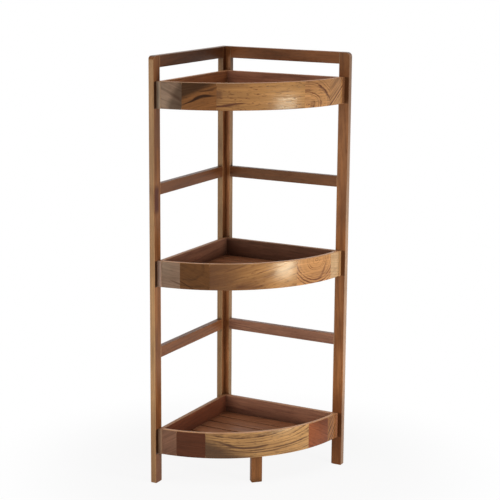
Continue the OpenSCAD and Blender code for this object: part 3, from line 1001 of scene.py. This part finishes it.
class SHELF_OT_supports(bpy.types.Operator):
    """Give the front leg, its block and the bearers their timber"""
    bl_idname = "shelf.dress_supports"
    bl_label = "Leg, block and bearers"

    def execute(self, context):
        dress("front_leg", timber(
            "front_leg_wood", "post", "ZYX", spin=45, lean=0.02, wander=0.004, ring_contrast=0.5,
            tone_contrast=0.5, ring_width=0.004, heart_across=0.05, seed=6.6))
        dress("leg_block", timber(
            "leg_block_wood", "raw", "YXZ", spin=45, ring_width=0.005, ring_contrast=0.6, seed=3.3))
        bearer_wood = timber(
            "bearer_wood", "raw", "YXZ", ring_width=0.005, lean=0.05, ring_contrast=0.6, seed=5.5)
        for tray in TRAYS:
            dress(f"{tray}_bearers", bearer_wood)
        return {"FINISHED"}


class SHELF_OT_screws(bpy.types.Operator):
    """Make the countersunk screws"""
    bl_idname = "shelf.make_screws"
    bl_label = "Wood screws"

    def execute(self, context):
        sizes = context.scene.shelf_sizes
        points, long = fixing_points("wood_screws", True)
        grow("screws", wood_screw_tree(), ["wood_screws"], {
            "Length": long,
            "Head Diameter": sizes.head_diameter,
            "Head Height": sizes.head_height,
            "Core Diameter": sizes.shank_diameter,
            "Thread Diameter": sizes.thread_diameter,
            "Pitch": sizes.thread_pitch,
            "Finish": plated_steel(),
        }, points)
        return {"FINISHED"}


class SHELF_OT_dowels(bpy.types.Operator):
    """Make the fluted dowels of the rail joints"""
    bl_idname = "shelf.make_dowels"
    bl_label = "Rail dowels"

    def execute(self, context):
        sizes = context.scene.shelf_sizes
        points, long = fixing_points("rail_dowels", False)
        grow("dowels", fluted_dowel_tree(), ["rail_dowels"], {
            "Length": long,
            "Diameter": sizes.dowel_diameter,
            "Flute Depth": sizes.flute_depth,
            "Timber": timber("dowel_wood", "raw", "", ring_width=0.002, seed=9.1),
        }, points)
        return {"FINISHED"}


def steel_marks_group():
    """Dull spots of zinc plating."""
    tree, given, result = start_tree(
        "Plating Marks", {"Vector": VECTOR, "Tint": COLOUR}, "Color", "Roughness")
    dull = place(tree, "ShaderNodeTexNoise", {
        "Vector": given["Vector"], "Scale": 900.0, "Detail": 4.0}, "Dull spots")
    spots = ease(dull, 0.4, 0.65)
    fill(result, {"Color": blend(spots, given["Tint"], shade(given["Tint"], 0.6)),
                  "Roughness": times_plus(spots, 0.25, 0.3)})
    return tree


def plated_steel():
    """Zinc-plated steel."""
    material, tree = new_material("screw_zinc")
    marks = place(tree, "ShaderNodeGroup", {
        "Vector": place(tree, "ShaderNodeTexCoord").outputs["Object"],
        "Tint": (*bpy.context.scene.shelf_timbers.zinc, 1.0)},
        node_tree=steel_marks_group()).outputs
    fill(tree.nodes["Principled BSDF"].inputs, {
        "Metallic": 1.0, "Base Color": marks["Color"], "Roughness": marks["Roughness"]})
    return material


# Stage

def seen_rays(tree):
    """1 for camera, glossy and transmission rays."""
    path = place(tree, "ShaderNodeLightPath").outputs
    return larger(larger(path["Is Camera Ray"], path["Is Glossy Ray"]), path["Is Transmission Ray"])


def floor_material():
    """Pale floor that fades to plain white away from the shelf."""
    material, tree = new_material("pale_floor")
    tree.nodes.clear()
    here = place(tree, "ShaderNodeTexCoord").outputs["Object"]
    far = place(tree, "ShaderNodeVectorMath", {0: here}, operation="LENGTH").outputs["Value"]
    fade = times(ease(far, 0.25, 0.6, 0.9, 1.0), seen_rays(tree))
    matt = place(tree, "ShaderNodeBsdfDiffuse", {"Color": (0.9, 0.9, 0.9, 1.0)})
    white = place(tree, "ShaderNodeEmission", {"Strength": 1.0})
    mixed = place(tree, "ShaderNodeMixShader", {0: fade, 1: matt, 2: white})
    place(tree, "ShaderNodeOutputMaterial", {"Surface": mixed})
    return material


def softbox(name, azimuth, middle_z, distance, width, height, level, spread=180):
    """Area light facing the middle of the shelf; level is what a white card there would show. A
    spread under 180 degrees stands for a grid in front of the softbox."""
    lamp = bpy.data.lights.new(name, "AREA")
    lamp.shape = "RECTANGLE"
    lamp.size = width
    lamp.size_y = height
    lamp.energy = level * pi ** 2 * (distance ** 2 + (middle_z - AIM_Z) ** 2)
    if spread < 180:
        lamp.spread = radians(spread)
        lamp.energy *= 1 - lamp.spread / 2 / tan(lamp.spread / 2)
    holder = bpy.data.objects.new(name, lamp)
    bpy.context.scene.collection.objects.link(holder)
    turn = radians(azimuth)
    holder.location = (sin(turn) * distance, -cos(turn) * distance, middle_z)
    toward = holder.location - Vector((0.0, 0.0, min(middle_z, AIM_Z)))
    holder.rotation_euler = toward.to_track_quat("Z", "Y").to_euler()


class SHELF_OT_stage(bpy.types.Operator):
    """Set the camera, the lamps, the surroundings and the floor"""
    bl_idname = "shelf.make_stage"
    bl_label = "Stage"

    def execute(self, context):
        scene = context.scene
        azimuth, rise, roll = radians(28.299), radians(12.235), radians(0.455)
        distance, aim_right, aim_z = 2.991581, -0.000438, 0.463724
        back = Vector((sin(azimuth) * cos(rise), -cos(azimuth) * cos(rise), sin(rise)))
        right = Vector((cos(azimuth), sin(azimuth), 0.0))
        up = back.cross(right)
        aim = right * aim_right + Vector((0.0, 0.0, aim_z))
        level_right = right * cos(roll) + up * sin(roll)
        level_up = up * cos(roll) - right * sin(roll)
        data = bpy.data.cameras.new("camera")
        data.sensor_width = 36.0
        data.lens = 109.1
        data.shift_x = -0.001
        data.shift_y = 0.001
        camera = bpy.data.objects.new("camera", data)
        scene.collection.objects.link(camera)
        facing = Matrix((level_right, level_up, back)).transposed().to_4x4()
        camera.matrix_world = Matrix.Translation(aim + back * distance) @ facing
        scene.camera = camera

        softbox("key", -30, 0.52, 1.9, 0.9, 1.0, 0.30)
        softbox("side", 83, 0.35, 1.2, 0.34, 0.56, 0.85, 76)
        softbox("above", 40, 2.6, 0.9, 1.6, 1.6, 0.26)

        world = bpy.data.worlds.new("surroundings")
        scene.world = world
        world.use_nodes = True
        tree = world.node_tree
        tree.nodes.clear()
        ambient, white = (place(tree, "ShaderNodeBackground", {
            "Strength": strength, "Color": WHITE}) for strength in (0.20, 1.0))
        mixed = place(tree, "ShaderNodeMixShader", {0: seen_rays(tree), 1: ambient, 2: white})
        place(tree, "ShaderNodeOutputWorld", {"Surface": mixed})

        disc = bmesh.new()
        bmesh.ops.create_circle(disc, cap_ends=True, radius=1.6, segments=96)
        mesh = bpy.data.meshes.new("floor")
        disc.to_mesh(mesh)
        disc.free()
        mesh.materials.append(floor_material())
        floor = bpy.data.objects.new("floor", mesh)
        scene.collection.objects.link(floor)
        scene.view_settings.view_transform = "Standard"
        return {"FINISHED"}


OPERATORS = (SHELF_OT_frames, SHELF_OT_walls, SHELF_OT_fronts, SHELF_OT_slats, SHELF_OT_supports,
             SHELF_OT_screws, SHELF_OT_dowels, SHELF_OT_stage)


class SHELF_PT_panel(bpy.types.Panel):
    """Steps and settings of the corner shelf"""
    bl_idname = "SHELF_PT_panel"
    bl_label = "Corner Shelf"
    bl_space_type = "VIEW_3D"
    bl_region_type = "UI"
    bl_category = "Corner Shelf"

    def draw(self, context):
        for step in OPERATORS:
            self.layout.operator(step.bl_idname)
        for settings in (context.scene.shelf_sizes, context.scene.shelf_timbers):
            box = self.layout.box()
            for key in settings.__annotations__:
                box.prop(settings, key)


CLASSES = (ShelfSizes, ShelfTimbers, *OPERATORS, SHELF_PT_panel)


def register():
    for item in CLASSES:
        bpy.utils.register_class(item)
    bpy.types.Scene.shelf_sizes = bpy.props.PointerProperty(type=ShelfSizes)
    bpy.types.Scene.shelf_timbers = bpy.props.PointerProperty(type=ShelfTimbers)


def unregister():
    del bpy.types.Scene.shelf_timbers
    del bpy.types.Scene.shelf_sizes
    for item in reversed(CLASSES):
        bpy.utils.unregister_class(item)


def main():
    register()
    shelf = bpy.ops.shelf
    for step in (shelf.dress_frames, shelf.dress_walls, shelf.make_fronts, shelf.make_slats,
                 shelf.dress_supports, shelf.make_screws, shelf.make_dowels, shelf.make_stage):
        step()


if __name__ == "__main__":
    main()
